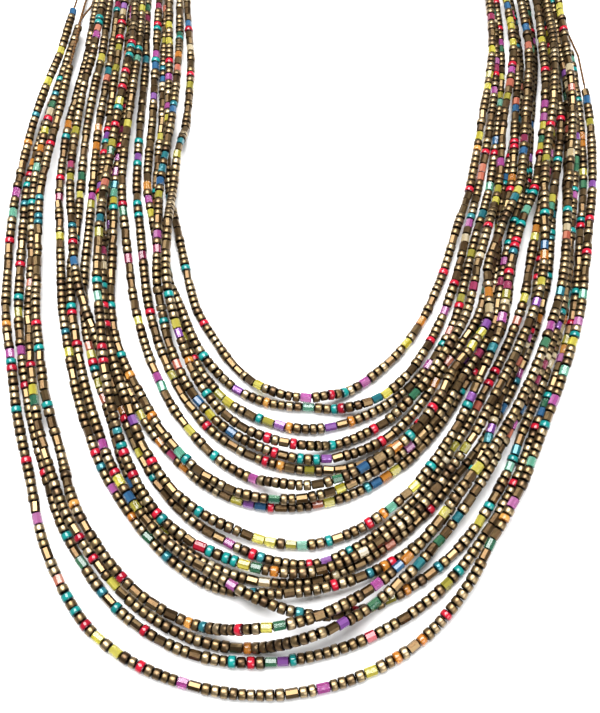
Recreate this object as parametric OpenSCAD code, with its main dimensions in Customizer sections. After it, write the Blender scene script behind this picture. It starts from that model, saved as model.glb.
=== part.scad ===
/* [Strands] */
// Width of the whole outline, across the outermost strands
loop_w = 199; // [195:1:230]
// Diameter of the round seed beads, and so of every strand
bead_d = 3; // [2.6:0.1:3.2]
// Clearance between strands that lie against or over each other
strand_gap = 0.15; // [0.1:0.05:0.3]
// How far up the legs the last beads reach on strands whose ends are out of sight
bead_top = 158; // [153:1:163]

/* [Threads] */
// Diameter of one bare bead thread
thread_d = 0.8; // [0.5:0.1:1]
// Clearance between a strand's last bead and its bare thread
thread_gap = 0.2; // [0.1:0.1:0.4]
// Diameter of the cord that the threads of one side gather into
cord_d = 4; // [3:0.5:5]
// Height up the legs at which the threads have gathered
gather_y = 194; // [188:1:200]

/* [Clasp] */
// Outer diameter of the barrel clasp
clasp_d = 7; // [7:0.5:9]
// Length of the barrel clasp
clasp_len = 14; // [12:1:18]
// Depth of the blind bore that takes a cord at each end
bore_depth = 4; // [3:0.5:5]
// Clearance all round the cord in its bore
cord_fit = 0.2; // [0.1:0.1:0.3]
// Position of the clasp behind the neck
clasp_y = 227; // [222:1:236]

/* [Hidden] */
// The middle of the outline, which becomes the part's own origin
mid_x = 3.35;
mid_y = 68;
// Centre of the bend of the U, from which all distances are measured
bend_x = 3;
clasp_x = 13;
// How much wider the loop is than the 199 mm at which the distances below were taken
wide = loop_w / 199;
gather_x = [bend_x - 59 * wide, bend_x + 77 * wide];
bead_r = bead_d / 2;
pitch = bead_d + strand_gap;
cord_r = cord_d / 2;
thread_r = thread_d / 2;

// Measuring lines: [height of the line's start, direction]. The left leg is crossed by
// level lines, the bend by rays from its centre, the right leg by level lines again.
stations = [
    [165, 180], [150, 180], [120, 180], [90, 180], [60, 180],
    [30, 180], [30, 200], [30, 220], [30, 240], [30, 255], [30, 270],
    [30, 285], [30, 300], [30, 320], [30, 340], [30, 360],
    [60, 360], [90, 360], [120, 360], [150, 360], [165, 360]
];
// One row per strand, in the order in which the strands were laid down, lowest first:
// [number, height of its last bead on the left, on the right, distances from the
// centre on the lines from the left leg at 150 round the bend to the right leg at 150].
// A height of 0 stands for bead_top.
strands = [
    [ 3, 0, 0, [54, 53, 51.5, 51, 45, 44, 46, 50, 51.6, 52.5, 51.3, 49.8, 48, 48, 50, 59.7, 66.3, 70.8, 72]],
    [ 6, 0, 0, [61.5, 59.5, 59, 57.5, 52.5, 51.6, 54.2, 59.7, 62.9, 64.8, 64.5, 60.5, 56, 56, 59.3, 64.5, 73, 77.5, 77.5]],
    [ 9, 0, 0, [67, 66.5, 66.5, 66, 63.5, 64.5, 67.8, 73, 76, 74.8, 70.8, 65.6, 60, 62, 64, 72.5, 77.6, 82.8, 83.4]],
    [13, 0, 0, [72.5, 72.5, 73.5, 72.5, 71.5, 71.8, 76, 89, 95.5, 95.5, 87.5, 79.3, 73.5, 72, 76, 81.9, 88, 89.1, 89.7]],
    [18, 130, 126, [85, 88.5, 92.5, 94.5, 92, 92, 98.8, 112.3, 117.5, 114, 106.2, 95.5, 83.7, 81, 85, 91.6, 95.3, 96.6, 96]],
    [14, 0, 0, [81, 81.5, 84, 83.5, 79, 78, 83.6, 93.5, 100, 97.9, 92.3, 83.5, 71, 70, 72, 80, 86.5, 88, 89]],
    [15, 0, 0, [75.5, 75.5, 77.5, 76.5, 75.5, 75, 80.5, 91, 97.5, 104.5, 100.4, 92, 81, 79.7, 82.7, 86, 91, 93.5, 93.5]],
    [ 2, 0, 0, [56.5, 55.5, 54.5, 53.5, 46, 42, 43.5, 45.5, 46, 45.7, 47.8, 47.5, 44.5, 44, 47, 56, 63.3, 68.4, 69.5]],
    [ 1, 0, 0, [52.5, 50.5, 49, 46.5, 39, 37.5, 37.5, 40.5, 43, 43.7, 42.3, 40, 38.5, 39, 42.5, 53, 60, 66.3, 68]],
    [ 8, 0, 0, [66, 65, 64, 64.5, 62.5, 63.6, 65.2, 71.3, 75, 73.2, 68.2, 63.5, 58.5, 59.3, 61.5, 70.3, 76, 81, 81]],
    [ 5, 0, 0, [49, 47, 47, 49, 47.5, 48, 51.5, 56.8, 60, 62.3, 61, 57, 52, 54, 57, 66.6, 71.6, 75.9, 75.8]],
    [ 7, 0, 0, [62.5, 61.5, 62, 61.5, 57, 55.6, 58.5, 64.5, 69, 70.5, 66.2, 61.5, 55, 57, 55.5, 69, 74.7, 79.4, 79.5]],
    [ 4, 0, 0, [46, 43, 43, 45, 44.5, 44.6, 47.7, 54, 57.4, 58.5, 56.4, 53.5, 50, 50.4, 52.5, 62.5, 67.5, 73.9, 74]],
    [11, 0, 0, [77, 78, 81, 79, 73.5, 69, 72, 82, 88, 91, 83, 73.5, 66, 65.5, 69.5, 78.4, 85, 85.6, 86.6]],
    [10, 0, 0, [69, 69.5, 70, 69, 64.5, 65, 69.5, 80, 84.4, 85.6, 79.6, 71.2, 63, 61, 62, 74.2, 80.9, 84.2, 85]],
    [12, 0, 0, [64.5, 63.5, 65.5, 67, 65.5, 66, 74, 87.5, 92.3, 93.2, 85.5, 76.5, 69, 68.5, 73, 76.5, 83, 87.2, 88]],
    [17, 135, 0, [84, 87, 90.5, 91.5, 88.5, 88.9, 96.9, 108.5, 114, 109.8, 97.5, 85.5, 77.3, 77, 81, 87.5, 92.5, 90.6, 91]],
    [16, 113, 0, [83, 84.5, 87, 88.5, 86, 85.7, 93, 105.8, 110.6, 105.5, 94, 82, 75.5, 74.3, 79, 85, 90, 92.2, 92.5]],
    [19, 143, 106, [87.5, 90, 95.5, 97.5, 96, 95, 103.4, 120.8, 124.6, 122, 113.2, 97.8, 85.7, 82.5, 86.6, 93.8, 97.8, 98, 97]]
];

function unit(v) = v / norm(v);
function at(v, k) = v[max(0, min(len(v) - 1, k))];

// Adds a value half way between each two, on a smooth curve through four neighbours
function refine(v) = [for (k = [0 : 2 * len(v) - 2])
    k % 2 == 0 ? v[k / 2]
    : (9 * (at(v, (k - 1) / 2) + at(v, (k + 1) / 2)) - at(v, (k - 3) / 2) - at(v, (k + 3) / 2)) / 16];

// All the lines: the stations and one more between each two
lines = [for (k = [0 : 2 * len(stations) - 2])
    k % 2 == 0 ? stations[k / 2] : (stations[(k - 1) / 2] + stations[(k + 1) / 2]) / 2];
last = len(lines) - 1;

// A strand's distances on all the lines; above 150 each leg leans in a little
function widen(d) = wide * refine(concat([d[0] * 0.985], d, [d[len(d) - 1] * 0.985]));
drawn = [for (s = strands) widen(s[3])];

// Strands that never cross keep a little apart, and those three apart in number, which
// lie in the same layer, keep a whole bead apart
function crossing(a, b) = let (n = len([for (k = [0 : last]) if (a[k] > b[k]) 1])) n > 0 && n <= last;
keep = [for (i = [0 : len(strands) - 1]) [for (j = [0 : len(strands) - 1])
    crossing(drawn[i], drawn[j]) ? 0 : (strands[i][0] - strands[j][0]) % 3 == 0 ? pitch + 0.15 : pitch / 2]];
function total(v) = v * [for (x = v) 1];
function push(d, w) = abs(d) < w ? 0.225 * (w - abs(d)) * sign(d) : 0;
function spread(v, n) = n == 0 ? v
    : spread([for (i = [0 : len(v) - 1]) [for (k = [0 : last])
        v[i][k] + total([for (j = [0 : len(v) - 1]) push(v[i][k] - v[j][k], keep[i][j])])]], n - 1);
reach = spread(drawn, 6);

// The line number, with its fraction, at a height on a leg
function leg_line(y) = y > 150 ? (165 - y) / 7.5 : 2 + (150 - y) / 15;
function end_y(y) = y == 0 ? bead_top : y;
first_bead = [for (s = strands) leg_line(end_y(s[1]))];
last_bead = [for (s = strands) last - leg_line(end_y(s[2]))];

// How near two strands come to each other around a line, 0 where they cross
function nearest(a, b, k) = let (
    d0 = at(a, k - 1) - at(b, k - 1),
    d1 = a[k] - b[k],
    d2 = at(a, k + 1) - at(b, k + 1))
    d0 * d1 <= 0 || d1 * d2 <= 0 ? 0 : 0.955 * min(abs(d0), abs(d1), abs(d2));

// How high a strand's centre is on a line: on the floor, or on the strands laid before it
function beaded(i, k) = k > first_bead[i] - 1.5 && k < last_bead[i] + 1.5;
function rest_on(i, j, k, z) = let (m = nearest(reach[i], reach[j], k))
    beaded(j, k) && m < pitch ? z + sqrt(pitch * pitch - m * m) : bead_r;
function height(i, k, done) = !beaded(i, k) ? thread_r
    : max([bead_r, for (j = [0 : 1 : i - 1]) rest_on(i, j, k, done[j][k])]);
function pile(i, done) = i == len(strands) ? done
    : pile(i + 1, concat(done, [[for (k = [0 : last]) height(i, k, done)]]));
heights = pile(0, []);

function place(d, l, z) = [bend_x + d * cos(l[1]) - mid_x, l[0] + d * sin(l[1]) - mid_y, z];
function ring_centre(i, k) = place(reach[i][k], lines[k], heights[i][k]);
function along(i, u) = let (k = min(last - 1, floor(u)))
    ring_centre(i, k) * (1 - u + k) + ring_centre(i, k + 1) * (u - k);

// A strand's route: both ends and every line between them
function route(i) = let (a = first_bead[i], b = last_bead[i]) concat(
    [along(i, a)],
    [for (k = [floor(a) + 1 : ceil(b) - 1]) if (k - a > 0.15 && b - k > 0.15) ring_centre(i, k)],
    [along(i, b)]);

// A tube with n flat sides through a list of points
module sweep(p, r, n) {
    m = len(p);
    pts = [for (i = [0 : m - 1]) let (
        t = unit((i < m - 1 ? unit(p[i + 1] - p[i]) : [0, 0, 0]) + (i > 0 ? unit(p[i] - p[i - 1]) : [0, 0, 0])),
        s = unit(cross(t, [0, 0, 1])),
        u = cross(s, t))
        for (j = [0 : n - 1]) p[i] + r * (s * cos(360 * j / n) + u * sin(360 * j / n))];
    walls = [for (i = [0 : m - 2]) for (j = [0 : n - 1]) let (q = (j + 1) % n)
        [i * n + j, i * n + q, (i + 1) * n + q, (i + 1) * n + j]];
    ends = [[for (j = [n - 1 : -1 : 0]) j], [for (j = [0 : n - 1]) (m - 1) * n + j]];
    polyhedron(points = pts, faces = concat(walls, ends), convexity = 10);
}

module strand(number) {
    for (i = [0 : len(strands) - 1]) {
        if (strands[i][0] == number) color("#6b5335") sweep(route(i), bead_r, 8);
    }
}

// The gathered cord: a quarter of an oval from the fan of threads to the clasp's bore
clasp_z = clasp_d / 2;
bore_end = clasp_len / 2 - bore_depth + cord_fit;
function cord_point(side, t) = let (
    tip = clasp_x + (side == 0 ? -bore_end : bore_end),
    gx = gather_x[side])
    [tip - (tip - gx) * cos(90 * t) - mid_x,
     gather_y + (clasp_y - gather_y) * sin(90 * t) - mid_y,
     cord_r + (clasp_z - cord_r) * t * t * (3 - 2 * t)];
function cord_route(side) = concat(
    [for (t = [0 : 0.1 : 0.75]) cord_point(side, t)],
    [cord_point(side, 0.8) , cord_point(side, 0.9)],
    [for (t = [0, 1]) [clasp_x + (side == 0 ? -1 : 1) * (clasp_len / 2 + 1 - t * (bore_depth + 1 - cord_fit)) - mid_x, clasp_y - mid_y, clasp_z]]);

// A bare thread: from just past the last bead up its leg, then into the cord
function thread_mark(i, side) = side == 0 ? first_bead[i] : last - last_bead[i];
function mirrored(side, k) = side == 0 ? k : last - k;
function step_past(i, side) = let (
    a = along(i, mirrored(side, thread_mark(i, side))),
    b = along(i, mirrored(side, max(0, thread_mark(i, side) - 0.5))))
    a + thread_gap * unit(b - a);
function thread_route(i, side) = let (
    a = thread_mark(i, side),
    spread = (i % 7 - 3) * 0.16 * cord_r,
    layer = (i % 3 - 1) * 0.4 * cord_r)
    concat(
        [step_past(i, side)],
        [for (k = [ceil(a) - 1 : -1 : 0]) if (a - k > 0.2) ring_centre(i, mirrored(side, k))],
        [cord_point(side, 0.06) + [spread, 0, layer]]);

module threads(side) {
    color("#4a3322") union() {
        sweep(cord_route(side), cord_r, 10);
        for (i = [0 : len(strands) - 1]) sweep(thread_route(i, side), thread_r, 6);
    }
}

// A plain barrel with bevelled rims and a blind bore at each end
module clasp() {
    bore_r = cord_r + cord_fit;
    half = clasp_len / 2;
    bevel = 0.6;
    color("#b08d4a")
    translate([clasp_x - mid_x, clasp_y - mid_y, clasp_z])
    rotate([0, 90, 0])
    rotate_extrude($fn = 64)
    polygon([
        [0, -half + bore_depth], [bore_r, -half + bore_depth], [bore_r, -half],
        [clasp_d / 2 - bevel, -half], [clasp_d / 2, -half + bevel],
        [clasp_d / 2, half - bevel], [clasp_d / 2 - bevel, half],
        [bore_r, half], [bore_r, half - bore_depth], [0, half - bore_depth]
    ]);
}

strand(1);  // strand_01
strand(2);  // strand_02
strand(3);  // strand_03
strand(4);  // strand_04
strand(5);  // strand_05
strand(6);  // strand_06
strand(7);  // strand_07
strand(8);  // strand_08
strand(9);  // strand_09
strand(10);  // strand_10
strand(11);  // strand_11
strand(12);  // strand_12
strand(13);  // strand_13
strand(14);  // strand_14
strand(15);  // strand_15
strand(16);  // strand_16
strand(17);  // strand_17
strand(18);  // strand_18
strand(19);  // strand_19
threads(0);  // threads_left
threads(1);  // threads_right
clasp();
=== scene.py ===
import math
import random

import bpy
from mathutils import Matrix, Quaternion, Vector


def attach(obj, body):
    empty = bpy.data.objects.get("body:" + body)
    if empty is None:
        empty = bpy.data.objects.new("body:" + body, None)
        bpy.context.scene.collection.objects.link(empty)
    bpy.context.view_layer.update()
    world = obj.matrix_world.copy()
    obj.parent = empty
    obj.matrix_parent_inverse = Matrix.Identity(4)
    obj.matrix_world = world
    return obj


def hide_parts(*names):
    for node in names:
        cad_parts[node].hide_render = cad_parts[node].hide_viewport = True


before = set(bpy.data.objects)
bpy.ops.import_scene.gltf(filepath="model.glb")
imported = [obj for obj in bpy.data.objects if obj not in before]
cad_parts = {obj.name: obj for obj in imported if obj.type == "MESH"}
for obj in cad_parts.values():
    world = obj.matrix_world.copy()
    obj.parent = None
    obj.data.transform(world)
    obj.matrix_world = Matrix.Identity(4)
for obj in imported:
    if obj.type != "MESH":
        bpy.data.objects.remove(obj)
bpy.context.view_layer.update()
bpy.ops.object.select_all(action="DESELECT")

MM = 0.001

# Camera: the photograph looks down on the U from its front
FRAME_W, FRAME_H = 600, 713     # the photograph's frame, in pixels
FOCAL = 777                     # focal length, in the same pixels
SENSOR = 36
OFF_PLUMB = 25                  # degrees off straight down
EYE_DISTANCE = 0.233            # in metres, to a point inside the bend
# The part's origin, in the frame that the routes below are measured in
MID_X, MID_Y = 3.35, 68.0
aim = Vector((-MID_X, -MID_Y, 3.0)) * MM
tilt = math.radians(90 - OFF_PLUMB)
eye = aim + EYE_DISTANCE * Vector((0, -math.cos(tilt), math.sin(tilt)))
cam_data = bpy.data.cameras.new("camera")
cam_data.lens = FOCAL / FRAME_H * SENSOR
cam_data.sensor_width = SENSOR
cam = bpy.data.objects.new("camera", cam_data)
cam.location = eye
cam.rotation_euler = (math.radians(OFF_PLUMB), 0, 0)
bpy.context.collection.objects.link(cam)
bpy.context.scene.camera = cam

# Routes of the strands, in millimetres: the same lines and distances as the CAD's
BEAD_R = 1.5
PITCH = 3.15                    # least distance between the middles of two strands
LAYERS = 3                      # every third strand is laid in the same layer
SIDE_GAP = 0.15                 # more distance between neighbours in one layer
LIE = 1.04                      # least height of a bead's middle, in bead radii
BEND_X = 3.0                    # centre of the bend
BEAD_TOP = 158                  # height of the last beads, where it can't be seen
DRAWN_IN = 0.985                # the top line's distances, as a share of the next line's
SLANT = 0.955                   # strands at a slant are nearer than along a line
PAST_END = 1.5                  # how far past its end a strand carries others, in half steps
ROUNDS = 6                      # times that strands are moved apart
NUDGE = 0.225                   # share of the missing distance made up each time
# Each measuring line: the height of its start, and its direction in degrees
STATIONS = [
    (165, 180), (150, 180), (120, 180), (90, 180), (60, 180),
    (30, 180), (30, 200), (30, 220), (30, 240), (30, 255), (30, 270),
    (30, 285), (30, 300), (30, 320), (30, 340), (30, 360),
    (60, 360), (90, 360), (120, 360), (150, 360), (165, 360)]
# Number: last bead's height on the left, on the right, then the distances from the
# centre, line by line. They stand in the order in which the strands were laid down, and
# a height of 0 stands for BEAD_TOP.
STRANDS = {
    3: (0, 0, [
        54, 53, 51.5, 51, 45, 44, 46, 50, 51.6, 52.5,
        51.3, 49.8, 48, 48, 50, 59.7, 66.3, 70.8, 72]),
    6: (0, 0, [
        61.5, 59.5, 59, 57.5, 52.5, 51.6, 54.2, 59.7, 62.9, 64.8,
        64.5, 60.5, 56, 56, 59.3, 64.5, 73, 77.5, 77.5]),
    9: (0, 0, [
        67, 66.5, 66.5, 66, 63.5, 64.5, 67.8, 73, 76, 74.8,
        70.8, 65.6, 60, 62, 64, 72.5, 77.6, 82.8, 83.4]),
    13: (0, 0, [
        72.5, 72.5, 73.5, 72.5, 71.5, 71.8, 76, 89, 95.5, 95.5,
        87.5, 79.3, 73.5, 72, 76, 81.9, 88, 89.1, 89.7]),
    18: (130, 126, [
        85, 88.5, 92.5, 94.5, 92, 92, 98.8, 112.3, 117.5, 114,
        106.2, 95.5, 83.7, 81, 85, 91.6, 95.3, 96.6, 96]),
    14: (0, 0, [
        81, 81.5, 84, 83.5, 79, 78, 83.6, 93.5, 100, 97.9,
        92.3, 83.5, 71, 70, 72, 80, 86.5, 88, 89]),
    15: (0, 0, [
        75.5, 75.5, 77.5, 76.5, 75.5, 75, 80.5, 91, 97.5, 104.5,
        100.4, 92, 81, 79.7, 82.7, 86, 91, 93.5, 93.5]),
    2: (0, 0, [
        56.5, 55.5, 54.5, 53.5, 46, 42, 43.5, 45.5, 46, 45.7,
        47.8, 47.5, 44.5, 44, 47, 56, 63.3, 68.4, 69.5]),
    1: (0, 0, [
        52.5, 50.5, 49, 46.5, 39, 37.5, 37.5, 40.5, 43, 43.7,
        42.3, 40, 38.5, 39, 42.5, 53, 60, 66.3, 68]),
    8: (0, 0, [
        66, 65, 64, 64.5, 62.5, 63.6, 65.2, 71.3, 75, 73.2,
        68.2, 63.5, 58.5, 59.3, 61.5, 70.3, 76, 81, 81]),
    5: (0, 0, [
        49, 47, 47, 49, 47.5, 48, 51.5, 56.8, 60, 62.3,
        61, 57, 52, 54, 57, 66.6, 71.6, 75.9, 75.8]),
    7: (0, 0, [
        62.5, 61.5, 62, 61.5, 57, 55.6, 58.5, 64.5, 69, 70.5,
        66.2, 61.5, 55, 57, 55.5, 69, 74.7, 79.4, 79.5]),
    4: (0, 0, [
        46, 43, 43, 45, 44.5, 44.6, 47.7, 54, 57.4, 58.5,
        56.4, 53.5, 50, 50.4, 52.5, 62.5, 67.5, 73.9, 74]),
    11: (0, 0, [
        77, 78, 81, 79, 73.5, 69, 72, 82, 88, 91,
        83, 73.5, 66, 65.5, 69.5, 78.4, 85, 85.6, 86.6]),
    10: (0, 0, [
        69, 69.5, 70, 69, 64.5, 65, 69.5, 80, 84.4, 85.6,
        79.6, 71.2, 63, 61, 62, 74.2, 80.9, 84.2, 85]),
    12: (0, 0, [
        64.5, 63.5, 65.5, 67, 65.5, 66, 74, 87.5, 92.3, 93.2,
        85.5, 76.5, 69, 68.5, 73, 76.5, 83, 87.2, 88]),
    17: (135, 0, [
        84, 87, 90.5, 91.5, 88.5, 88.9, 96.9, 108.5, 114, 109.8,
        97.5, 85.5, 77.3, 77, 81, 87.5, 92.5, 90.6, 91]),
    16: (113, 0, [
        83, 84.5, 87, 88.5, 86, 85.7, 93, 105.8, 110.6, 105.5,
        94, 82, 75.5, 74.3, 79, 85, 90, 92.2, 92.5]),
    19: (143, 106, [
        87.5, 90, 95.5, 97.5, 96, 95, 103.4, 120.8, 124.6, 122,
        113.2, 97.8, 85.7, 82.5, 86.6, 93.8, 97.8, 98, 97]),
}
NUMBERS = list(STRANDS)
LAST = 2 * len(STATIONS) - 2


def at(v, k):
    """The value at a place, or the nearest one past the list's ends."""
    return v[max(0, min(len(v) - 1, k))]


def refine(v):
    """Adds a value half way between each two, on a smooth curve through four neighbours."""
    out = []
    for k in range(2 * len(v) - 1):
        h = k // 2
        if k % 2:
            out.append((9 * (v[h] + v[h + 1]) - at(v, h - 1) - at(v, h + 2)) / 16)
        else:
            out.append(v[h])
    return out


LINES = []
for k in range(LAST + 1):
    y0, a0 = STATIONS[k // 2]
    y1, a1 = STATIONS[(k + 1) // 2]
    LINES.append(((y0 + y1) / 2, math.radians((a0 + a1) / 2)))


def crosses(a, b):
    """Whether one strand is the outer one on some lines and the inner one on others."""
    outside = sum(p > q for p, q in zip(a, b))
    return 0 < outside <= LAST


def keep_apart(i, j, rows):
    """How far apart two strands have to lie across the lines."""
    if crosses(rows[i], rows[j]):
        return 0
    return PITCH + SIDE_GAP if (i - j) % LAYERS == 0 else PITCH / 2


def spread(rows):
    """Strands that never cross keep a little apart, those of one layer a whole bead."""
    apart = {(i, j): keep_apart(i, j, rows) for i in rows for j in rows if i != j}
    for _ in range(ROUNDS):
        moved = {}
        for i in rows:
            moved[i] = []
            for k in range(LAST + 1):
                x = rows[i][k]
                for j in rows:
                    if i != j:
                        d = rows[i][k] - rows[j][k]
                        if abs(d) < apart[i, j]:
                            x += math.copysign(NUDGE * (apart[i, j] - abs(d)), d)
                moved[i].append(x)
        rows = moved
    return rows


REACH = spread({n: refine([d[0] * DRAWN_IN] + d + [d[-1] * DRAWN_IN])
                for n, (_, _, d) in STRANDS.items()})


def leg_line(y):
    """The line at this height on a leg, counted down from its top in half steps."""
    top, shoulder, below = (start for start, _ in STATIONS[:3])
    if y > shoulder:
        return 2 * (top - y) / (top - shoulder)
    return 2 + 2 * (shoulder - y) / (shoulder - below)


FIRST = {n: leg_line(s[0] or BEAD_TOP) for n, s in STRANDS.items()}
FINAL = {n: LAST - leg_line(s[1] or BEAD_TOP) for n, s in STRANDS.items()}


def nearest(a, b, k):
    """How near two strands pass, seen from above, around one line."""
    d = [at(a, k + m) - at(b, k + m) for m in (-1, 0, 1)]
    if d[0] * d[1] <= 0 or d[1] * d[2] <= 0:
        return 0
    return SLANT * min(map(abs, d))


def pile():
    """How high each strand's centre lies: on the floor, or on the strands under it."""
    tall = {}
    for n, i in enumerate(NUMBERS):
        tall[i] = []
        for k in range(LAST + 1):
            z = BEAD_R
            for j in NUMBERS[:n]:
                m = nearest(REACH[i], REACH[j], k)
                if m < PITCH and FIRST[j] - PAST_END < k < FINAL[j] + PAST_END:
                    z = max(z, tall[j][k] + math.sqrt(PITCH * PITCH - m * m))
            tall[i].append(z)
    return tall


HEIGHT = pile()


def centre(i, k):
    """The middle of a strand where it crosses a line."""
    y, a = LINES[k]
    d = REACH[i][k]
    return Vector((BEND_X + d * math.cos(a) - MID_X, y + d * math.sin(a) - MID_Y, HEIGHT[i][k]))


def along(i, u):
    """The middle of a strand between two lines."""
    k = min(LAST - 1, math.floor(u))
    return centre(i, k).lerp(centre(i, k + 1), u - k)


def route(i, least=0.15):
    """A strand's middles from its first bead to its last, none of them crowded."""
    a, b = FIRST[i], FINAL[i]
    inner = [centre(i, k) for k in range(math.floor(a) + 1, math.ceil(b))
             if k - a > least and b - k > least]
    return [along(i, a)] + inner + [along(i, b)]


def smooth(points, steps=8):
    """A curve through all the points, which never sinks a bead into the floor."""
    out = []
    for k in range(len(points) - 1):
        p0, p1, p2, p3 = (at(points, k + m) for m in (-1, 0, 1, 2))
        for s in range(steps):
            t = s / steps
            out.append(0.5 * (2 * p1 + (p2 - p0) * t + (2 * p0 - 5 * p1 + 4 * p2 - p3) * t * t
                              + (3 * p1 - p0 - 3 * p2 + p3) * t ** 3))
            out[-1].z = max(out[-1].z, BEAD_R * LIE)
    return out + [points[-1].copy()]


# Materials
def linear(code):
    """An sRGB hex colour as linear light."""
    out = []
    for h in (code[0:2], code[2:4], code[4:6]):
        c = int(h, 16) / 255
        out.append(c / 12.92 if c <= 0.04045 else ((c + 0.055) / 1.055) ** 2.4)
    return (*out, 1.0)


def add(tree, kind, inputs=None, **settings):
    """Adds a node with its settings, and gives each input its value or its link."""
    node = tree.nodes.new(kind)
    for name, value in settings.items():
        setattr(node, name, value)
    for name, value in (inputs or {}).items():
        if isinstance(value, bpy.types.NodeSocket):
            tree.links.new(value, node.inputs[name])
        else:
            node.inputs[name].default_value = value
    return node


def per_mm(size):
    """Texture scale, in repeats a metre, for a pattern of this size in millimetres."""
    return 1 / (size * MM)


def bead_glass(name, tints, painted_end_shade, metallic=0.0, rough=0.12, clear=0.0):
    """Drawn seed bead glass, cut from cane and tumbled in a kiln: no two beads come out in quite the
    same tone, and the fired skin is uneven by a few hundredths of a millimetre, so glints break up.
    Each bead's ends and the edge of its hole carry painted shade, standing in for the shade where
    beads meet on the thread; only the crown keeps the glass's own tone."""
    mat = bpy.data.materials.new(name)
    mat.use_nodes = True
    tree = mat.node_tree
    tree.nodes.clear()
    geo = add(tree, "ShaderNodeNewGeometry")
    ramp = add(tree, "ShaderNodeValToRGB", {"Fac": geo.outputs["Random Per Island"]})
    while len(ramp.color_ramp.elements) < len(tints):
        ramp.color_ramp.elements.new(0.5)
    for k, (element, tint) in enumerate(zip(ramp.color_ramp.elements, tints)):
        element.position = k / (len(tints) - 1)
        element.color = linear(tint)
    # painted shade: towards each bead's ends and hole the colour goes over to the end-shade colour,
    # standing in for the shade between neighbouring beads
    crown = add(tree, "ShaderNodeAttribute", attribute_name="crown")
    end_shade_fade = add(tree, "ShaderNodeMapRange", {
        "Value": crown.outputs["Fac"], "From Min": 0.15, "From Max": 0.75},
        interpolation_type="SMOOTHSTEP")
    mix = add(tree, "ShaderNodeMix", {
        "Factor": end_shade_fade.outputs["Result"], "A": linear(painted_end_shade), "B": ramp.outputs["Color"]},
        data_type="RGBA")
    coords = add(tree, "ShaderNodeTexCoord")
    skin = add(tree, "ShaderNodeTexNoise", {
        "Vector": coords.outputs["Object"], "Scale": per_mm(0.9), "Detail": 2.0})
    bump = add(tree, "ShaderNodeBump", {
        "Height": skin.outputs["Fac"], "Strength": 0.5, "Distance": 0.1 * MM})
    shader = add(tree, "ShaderNodeBsdfPrincipled", {
        "Base Color": mix.outputs["Result"], "Normal": bump.outputs["Normal"], "Metallic": metallic,
        "Roughness": rough, "Transmission Weight": clear, "IOR": 1.5})
    add(tree, "ShaderNodeOutputMaterial", {"Surface": shader.outputs["BSDF"]})
    return mat


# Glass with a metal oxide lustre fired on: a nearly metal skin, from champagne to brown
BRONZE = ["907e5e", "766244", "a4906e", "624e36", "826e4c", "705a40", "ae9c7c", "7a664a", "52402e"]
CANE = ["7e6848", "665236", "947c58", "56422a", "70583c", "483824"]
# The colour after each list of tints is painted shade, laid on the beads' ends where neighbours meet
GLASS = {
    "bronze": bead_glass("bronze lustre glass", BRONZE, "0c0603", 0.92, 0.38),
    # cane cut longer and left faceted, its lustre browner
    "bronze_cut": bead_glass("bronze lustre cut cane", CANE, "0c0603", 0.9, 0.34),
    # opaque glass, coloured all through, with a plain wet gloss
    "turq": bead_glass("opaque turquoise glass", ["107470", "167e7a", "0a6060"], "02181a"),
    "red": bead_glass("opaque red glass", ["9c1226", "aa182c", "80091e"], "28030a"),
    # clear glass with a colour lining in the hole: light passes the wall and takes the tone
    "yellow": bead_glass("yellow lined glass", ["e8de54", "f0e878", "d0be34"], "6c600e", clear=0.6),
    "orange": bead_glass("amber lined glass", ["e49a40", "d68634", "eeb45c"], "74400a", clear=0.6),
    "pink": bead_glass("magenta lined glass", ["d070c0", "bc50a0", "e49cd0"], "501248", clear=0.6),
    "coral": bead_glass("coral lined glass", ["c46a54", "d08a70", "a85442"], "5c2018", clear=0.4),
    "mint": bead_glass("pale green glass", ["88ceb0", "68b89c", "a8e0c8"], "245848", clear=0.6),
    "green": bead_glass("leaf green glass", ["3e7c5a", "2f6650", "5c9870"], "122e1c", clear=0.5),
    "olive": bead_glass("olive glass", ["a49c34", "bcb24c", "8c842c"], "342f08", clear=0.5),
    "blue": bead_glass("steel blue glass", ["2c5c84", "3a6c94", "244a70"], "0a1a2c", clear=0.3),
    # clear glass with a thin lustre: deep tone with a metal glint
    "purple": bead_glass(
        "purple lustre glass", ["a066b8", "8850a4", "b684cc"], "2e1438", 0.2, clear=0.4),
    "teal": bead_glass("teal lustre glass", ["2a7076", "22606c", "388084"], "082228", 0.3),
    "wine": bead_glass("wine lined glass", ["a03458", "b44a70", "842848"], "2c0a16", clear=0.5),
    "clear": bead_glass(
        "clear champagne glass", ["dccaa0", "e8dab8", "c8b080"], "5c4424", clear=0.55),
}


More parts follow.
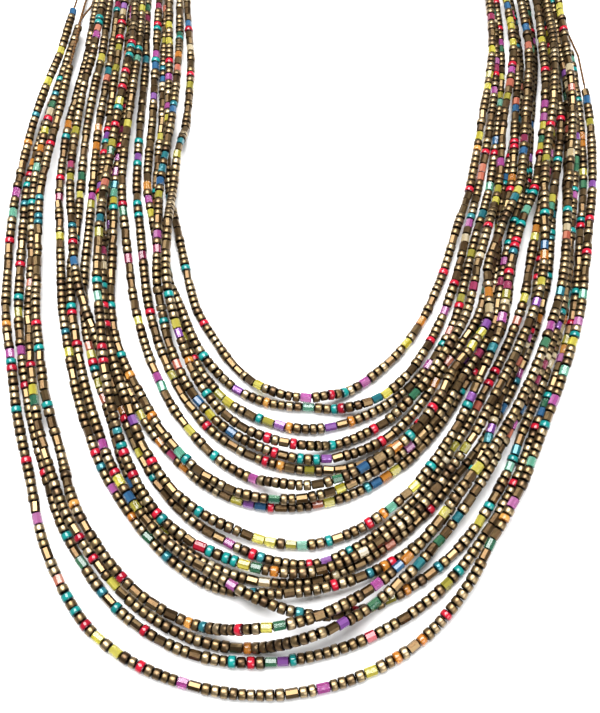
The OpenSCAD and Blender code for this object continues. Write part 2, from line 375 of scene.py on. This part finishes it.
def thread_fibre(name, groove_shade, light, ply):
    """Twisted nylon bead thread, dyed brown: fine plies slant round it, with painted shade in the
    grooves between them and the plain tone on their tops, dull with a little sheen. The plies are
    drawn coarser than real."""
    mat = bpy.data.materials.new(name)
    mat.use_nodes = True
    tree = mat.node_tree
    tree.nodes.clear()
    coords = add(tree, "ShaderNodeTexCoord")
    # at scale 1 the slanted bands repeat every tau / 10 along each axis
    wave = add(tree, "ShaderNodeTexWave", {
        "Vector": coords.outputs["Object"], "Scale": per_mm(ply) * math.tau / 10, "Distortion": 2.0},
        wave_type="BANDS", bands_direction="DIAGONAL")
    # painted shade: the first colour lies in the grooves between the plies, the second on their tops
    mix = add(tree, "ShaderNodeMix", {
        "Factor": wave.outputs["Fac"], "A": linear(groove_shade), "B": linear(light)},
        data_type="RGBA")
    bump = add(tree, "ShaderNodeBump", {
        "Height": wave.outputs["Fac"], "Strength": 0.6, "Distance": 0.2 * MM})
    shader = add(tree, "ShaderNodeBsdfPrincipled", {
        "Base Color": mix.outputs["Result"], "Normal": bump.outputs["Normal"], "Roughness": 0.7,
        "Specular IOR Level": 0.25, "Sheen Weight": 0.03})
    add(tree, "ShaderNodeOutputMaterial", {"Surface": shader.outputs["BSDF"]})
    return mat


# the first colour is painted shade in the grooves between plies
THREAD = thread_fibre("brown bead thread", "3a2408", "704818", 0.5)


def plain_brass():
    """Brass, turned and polished: a warm metal whose gloss is rubbed duller in patches."""
    mat = bpy.data.materials.new("polished brass")
    mat.use_nodes = True
    tree = mat.node_tree
    tree.nodes.clear()
    coords = add(tree, "ShaderNodeTexCoord")
    rubs = add(tree, "ShaderNodeTexNoise", {
        "Vector": coords.outputs["Object"], "Scale": per_mm(2.5)})
    rough = add(tree, "ShaderNodeMapRange", {
        "Value": rubs.outputs["Fac"], "To Min": 0.15, "To Max": 0.38})
    tone = add(tree, "ShaderNodeMix", {
        "Factor": rubs.outputs["Fac"], "A": linear("a8843f"), "B": linear("c09a55")},
        data_type="RGBA")
    shader = add(tree, "ShaderNodeBsdfPrincipled", {
        "Base Color": tone.outputs["Result"], "Roughness": rough.outputs["Result"], "Metallic": 1.0})
    add(tree, "ShaderNodeOutputMaterial", {"Surface": shader.outputs["BSDF"]})
    return mat


# Bead shapes, each modelled once with its hole along Z. Sizes are in millimetres.
HOLE_R, WALL = 0.42, 1.1
HOLE_LIP = 0.3                  # this near the hole a bead's end gets the full painted shade
ROUND_HALF = 1.12               # half the length of a round bead
CUT_R, CUT_LENGTH = 1.32, 3.2
# The section of a round bead's wall, an eighth of the way round each step: across the
# wall, then along the hole, in half walls and half lengths
SQUARE = [(1, 0), (1, 0.62), (0.55, 0.97), (-0.8, 1),
          (-1, 0), (-0.8, -1), (0.55, -0.97), (1, -0.62)]


def mark_end_shade(bead, half, start):
    """Stores the mask of the painted shade at the bead's ends, from how far each point is from them:
    1 on the crown, as far out as start along the bead's half length, then down to 0, fully shaded,
    at the end and the hole."""
    crown = bead.data.attributes.new("crown", "FLOAT", "POINT")
    for k, point in enumerate(bead.data.vertices):
        out = math.hypot(point.co.x, point.co.y) / MM
        near_end = abs(point.co.z) / MM / half
        value = max(0.0, 1 - max(0.0, near_end - start) / (1 - start))
        crown.data[k].value = value if out > HOLE_R + HOLE_LIP else 0.0


def round_bead():
    """A ring whose wall is drawn square: flat crown, soft corners, nearly flat ends."""
    bpy.ops.mesh.primitive_torus_add(
        major_segments=10, minor_segments=len(SQUARE),
        major_radius=(HOLE_R + WALL / 2) * MM, minor_radius=WALL / 2 * MM)
    bead = bpy.context.object
    for k, point in enumerate(bead.data.vertices):
        across, up = SQUARE[k % len(SQUARE)]
        out = math.hypot(point.co.x, point.co.y)
        wide = (HOLE_R + WALL / 2 * (1 + across)) * MM / out
        point.co.x *= wide
        point.co.y *= wide
        point.co.z = up * ROUND_HALF * MM
    bpy.ops.object.shade_smooth()
    mark_end_shade(bead, ROUND_HALF, 0.25)
    bead.name = "round_bead"
    return bead


def cut_bead():
    """A longer piece of eight-sided cane, its corners just broken."""
    bpy.ops.mesh.primitive_cylinder_add(vertices=8, radius=CUT_R * MM, depth=CUT_LENGTH * MM)
    bead = bpy.context.object
    bevel = bead.modifiers.new("edge", "BEVEL")
    bevel.width = 0.22 * MM
    bevel.segments = 1
    bevel.angle_limit = math.radians(60)
    bpy.ops.object.modifier_apply(modifier="edge")
    bpy.ops.object.shade_smooth_by_angle(angle=math.radians(30))
    mark_end_shade(bead, CUT_LENGTH / 2, 0.75)
    bead.name = "cut_bead"
    return bead


# Each shape, with the length that it takes up on the thread
SHAPES = {"round": (round_bead(), 2.26), "cut": (cut_bead(), 3.25)}
PATTERNS = {}


def pattern_bead(shape, colour):
    """One bead of a shape and a colour, which every copy shares."""
    if (shape, colour) not in PATTERNS:
        mesh = SHAPES[shape][0].data.copy()
        mesh.materials.clear()
        mesh.materials.append(GLASS[colour])
        PATTERNS[shape, colour] = mesh
    return PATTERNS[shape, colour]


# The coloured beads of each strand, read off the photograph: colour, then how far across and down
# the view it lies, in pixels. Lined colours are cut cane, and so is any colour with a slash after
# it. Opaque ones are a little fatter than the rest.
OPAQUE = ("red", "turq")
LINED = ("yellow", "pink", "mint", "green", "olive", "blue", "purple")
ACCENTS = {
    1: (
        "yellow 188 25, red 190 59, red 206 323, yellow/ 259 384, red 333 395, turq 341 392, "
        "pink 360 382, yellow 406 344, red 443 273, red 467 190, orange 478 150, yellow 480 135"),
    2: (
        "turq 200 354, purple 235 386, orange 262 400, mint/ 303 403, turq 335 407, red 343 408, "
        "teal/ 376 399, yellow 386 397, red 432 338, pink 444 315"),
    3: (
        "yellow 226 398, turq 255 416, purple 279 425, orange 288 427, purple 327 427, "
        "orange 345 422"),
    4: (
        "turq 168 290, purple 177 330, orange 187 362, turq 205 395, red 268 441, red 287 445, "
        "turq 328 446, red 372 430, green/ 408 399"),
    5: (
        "yellow 210 413, blue 228 429, red 275 454, turq 296 458, turq 314 459, purple 324 458, "
        "red 382 442"),
    6: "red 150 312, red 209 425, red 267 462, orange 282 465, olive 312 467, orange 388 450",
    7: "yellow 137 315, pink 157 375, yellow 189 428, turq 210 451, pink 251 478",
    8: (
        "turq 112 303, turq 119 354, orange 131 377, orange 151 415, mint 173 445, turq 186 458, "
        "green 272 503, yellow 333 492"),
    10: (
        "purple 131 414, red 147 464, turq 200 514, yellow 248 538, yellow 266 541, red 366 524, "
        "orange 382 516, mint 391 508, yellow 416 490, turq 435 470"),
    11: "pink 228 543, teal 255 555, red 312 565, purple 322 563, turq 353 557",
    12: (
        "red 106 346, red 108 362, teal 122 432, turq 124 442, red 127 449, red 155 510, "
        "red/ 192 543, turq 209 551, turq 219 557, turq 229 563, yellow 238 563, green 256 566, "
        "orange 275 570"),
    14: (
        "teal 64 328, yellow 67 349, red 97 452, teal 103 468, pink 112 487, orange 132 518, "
        "green 146 535, teal 168 555, teal 254 586, red 338 587, teal 371 575, orange 380 570, "
        "red 388 567"),
    15: (
        "turq 72 309, red 72 316, red 77 346, pink 231 590, teal 298 615, red 354 613, "
        "olive 386 602, orange 403 594, teal 435 570"),
    16: (
        "red 38 325, turq 41 350, turq 47 397, orange 77 505, red 120 573, orange 188 623, "
        "teal 199 626, red 238 634, yellow 263 631, green 281 634"),
    17: (
        "red 31 362, yellow 34 387, green 36 397, red 84 543, red 93 558, yellow 109 580, "
        "orange 243 649, purple 338 628"),
    18: (
        "turq 14 300, red 24 388, red 42 475, green 78 558, teal 101 590, turq 114 604, "
        "red 145 629, turq 230 663, red 255 662, green 265 663, purple 277 662, turq 289 660, "
        "red/ 366 639, olive 441 590, turq 460 571"),
    19: (
        "yellow 67 50, yellow 55 82, teal 38 118, orange 29 143, pink 15 195, mint 10 213, "
        "red 8 243, orange 8 323, turq 11 357, turq 17 412, red 25 460, pink 37 511, "
        "turq 66 597, turq 76 611, red 85 625, yellow 113 653, red 142 670, pink 184 685, "
        "pink 323 688, yellow 366 676, orange 395 662, orange 417 645, red 446 612, "
        "green 485 549, orange 504 517, pink 508 500, mint 523 463, turq 536 428, pink 553 403, "
        "mint 560 372, yellow 565 345, turq 572 333, pink 572 322, mint 577 300, red 583 251, "
        "red 583 225, purple 584 186"),
}


def seen_at(point):
    """Where a point, in millimetres, falls in the photograph's view."""
    ray = cam.rotation_euler.to_quaternion().inverted() @ (point * MM - eye)
    return FRAME_W / 2 + FOCAL * ray.x / -ray.z, FRAME_H / 2 - FOCAL * ray.y / -ray.z


def chart(number, curve):
    """Coloured beads as (place on the curve, colour, shape)."""
    seen = [seen_at(p) for p in curve]
    marks = []
    for entry in filter(None, (e.strip() for e in ACCENTS.get(number, "").split(","))):
        colour, x, y = entry.split()
        there = float(x), float(y)
        best = min(range(len(seen)), key=lambda k: math.dist(seen[k], there))
        shape = "cut" if colour.endswith("/") or colour in LINED else "round"
        marks.append((best, colour.strip("/"), shape))
    return marks


# The mix that the other coloured beads are drawn from, common ones more than once
LOOSE = ["red round", "turq round", "red round", "turq round", "turq round", "red round",
         "teal cut", "olive cut", "pink cut", "yellow cut", "orange cut", "green cut",
         "mint cut", "coral cut", "purple cut", "teal round", "olive cut", "blue cut",
         "wine cut", "clear cut", "yellow cut", "clear round", "pink cut", "orange cut"]
CANE_SHARE = 0.15               # chance that a bead is bronze cane
LOOSE_SHARE = 0.25              # chance that one of the others is coloured
CHARTED_SHARE = 0.04            # the same chance near charted beads: few are missing there
CHARTED_REACH = 20              # how near that is, in millimetres along the thread
CHART_AHEAD = 2                 # a charted bead is strung once its place is this near
FIRST_GAP, LAST_GAP = 0.3, 0.2  # bare thread at a strand's two ends
RAGGED = 5                      # most by which a hidden end falls short
FAT, SLIM = (1.0, 1.06), (0.91, 1.04)   # least and most width, as shares of the shape's
LONG = (0.88, 1.1)              # least and most length, likewise
SLACK = (0.01, 0.09)            # least and most gap between neighbours on the thread
LEAN = 0.12                     # most that a bead tilts on its thread, in radians
CORE_R = 0.3                    # radius of the thread in the beads


def string(number):
    """All the beads of one strand, copied along its curve and joined to one piece."""
    rng = random.Random(100 + number)
    curve = smooth(route(number))
    run = [0.0]
    for p, q in zip(curve, curve[1:]):
        run.append(run[-1] + (q - p).length)
    marks = sorted((run[k], colour, shape) for k, colour, shape in chart(number, curve))
    charted = [mark[0] for mark in marks]
    beads = []
    # past the view's edge the strings end a little unevenly, as hand-strung ones do
    left, right, _ = STRANDS[number]
    place, seg = FIRST_GAP if left else rng.uniform(FIRST_GAP, RAGGED), 0
    stop = run[-1] - (LAST_GAP if right else rng.uniform(LAST_GAP, RAGGED))
    while True:
        near = any(abs(place - c) < CHARTED_REACH for c in charted)
        colour, shape = "bronze", "round"
        if marks and marks[0][0] <= place + CHART_AHEAD:
            _, colour, shape = marks.pop(0)
        elif rng.random() < CANE_SHARE:
            colour, shape = "bronze_cut", "cut"
        elif rng.random() < (CHARTED_SHARE if near else LOOSE_SHARE):
            colour, shape = rng.choice(LOOSE).split()
        wide = rng.uniform(*(FAT if colour in OPAQUE else SLIM))
        long = rng.uniform(*LONG)
        length = SHAPES[shape][1] * long
        middle = place + length / 2
        if place + length > stop:
            break
        while run[seg + 1] < middle:
            seg += 1
        p, q = curve[seg], curve[seg + 1]
        spot = p.lerp(q, (middle - run[seg]) / (run[seg + 1] - run[seg]))
        way = (q - p).normalized()
        turn = way.to_track_quat("Z", "Y") @ Quaternion((0, 0, 1), rng.uniform(0, math.tau))
        lean = Quaternion((rng.uniform(-1, 1), rng.uniform(-1, 1), 0), rng.uniform(0, LEAN))
        bead = bpy.data.objects.new("bead", pattern_bead(shape, colour))
        turned = (turn @ lean).to_matrix().to_4x4()
        scaled = Matrix.Diagonal((wide, wide, long, 1))
        bead.matrix_world = Matrix.Translation(spot * MM) @ turned @ scaled
        bpy.context.collection.objects.link(bead)
        beads.append(bead)
        place += length + rng.uniform(*SLACK)
    core = thread_core(curve)
    bpy.ops.object.select_all(action="DESELECT")
    for bead in beads:
        bead.select_set(True)
    core.select_set(True)
    bpy.context.view_layer.objects.active = core
    bpy.ops.object.join()
    core.name = "beads_%02d" % number
    bpy.ops.object.select_all(action="DESELECT")
    return core


def thread_core(curve):
    """The thread inside the beads, as a closed mesh tube."""
    data = bpy.data.curves.new("core", "CURVE")
    data.dimensions = "3D"
    data.bevel_depth = CORE_R * MM
    data.bevel_resolution = 1
    data.use_fill_caps = True
    line = data.splines.new("POLY")
    marks = curve[::4] + ([curve[-1]] if (len(curve) - 1) % 4 else [])
    line.points.add(len(marks) - 1)
    for point, spot in zip(line.points, marks):
        point.co = (*(spot * MM), 1)
    tube = bpy.data.objects.new("core", data)
    bpy.context.collection.objects.link(tube)
    bpy.ops.object.select_all(action="DESELECT")
    tube.select_set(True)
    bpy.context.view_layer.objects.active = tube
    bpy.ops.object.convert(target="MESH")
    tube = bpy.context.object
    bpy.ops.object.mode_set(mode="EDIT")
    bpy.ops.mesh.select_all(action="SELECT")
    bpy.ops.mesh.remove_doubles(threshold=0.001 * MM)
    bpy.ops.object.mode_set(mode="OBJECT")
    tube.data.materials.append(THREAD)
    return tube


for number in sorted(STRANDS):
    piece = string(number)
    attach(piece, "root")
    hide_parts("strand_%02d" % number)

for shape, _ in SHAPES.values():
    bpy.data.objects.remove(shape)

# The bare threads and the clasp keep their CAD shapes
# its first colour is painted shade in the grooves between plies
CORD = thread_fibre("twisted brown cord", "301c06", "644014", 1.6)
for name, mat in (("threads_left", CORD), ("threads_right", CORD), ("clasp", plain_brass())):
    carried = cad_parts[name]
    carried.data.materials.clear()
    carried.data.materials.append(mat)

# White surface and soft light
bpy.ops.mesh.primitive_plane_add(size=4)
floor = bpy.context.object
floor.name = "floor"
paper = bpy.data.materials.new("white paper")
paper.use_nodes = True
paper.node_tree.nodes.clear()
sheet = add(paper.node_tree, "ShaderNodeBsdfPrincipled", {
    "Base Color": linear("e6e6e6"), "Roughness": 0.6})
add(paper.node_tree, "ShaderNodeOutputMaterial", {"Surface": sheet.outputs["BSDF"]})
floor.data.materials.append(paper)


def soft_light(name, spot, target, width, power):
    """A square studio light, its places and width in metres and its power in watts."""
    data = bpy.data.lights.new(name, "AREA")
    data.size = width
    data.energy = power
    light = bpy.data.objects.new(name, data)
    light.location = spot
    light.rotation_euler = (Vector(target) - Vector(spot)).to_track_quat("-Z", "Y").to_euler()
    bpy.context.collection.objects.link(light)


soft_light("overhead", (-0.1, 0.2, 0.7), (0, -0.04, 0), 0.6, 17.5)
soft_light("fill", (0.5, -0.6, 0.6), (0, -0.04, 0), 0.6, 6)
world = bpy.data.worlds.new("studio")
world.use_nodes = True
world.node_tree.nodes["Background"].inputs["Color"].default_value = (1, 1, 1, 1)
world.node_tree.nodes["Background"].inputs["Strength"].default_value = 0.23
bpy.context.scene.world = world
bpy.context.scene.view_settings.view_transform = "Standard"

bpy.ops.object.select_all(action="DESELECT")
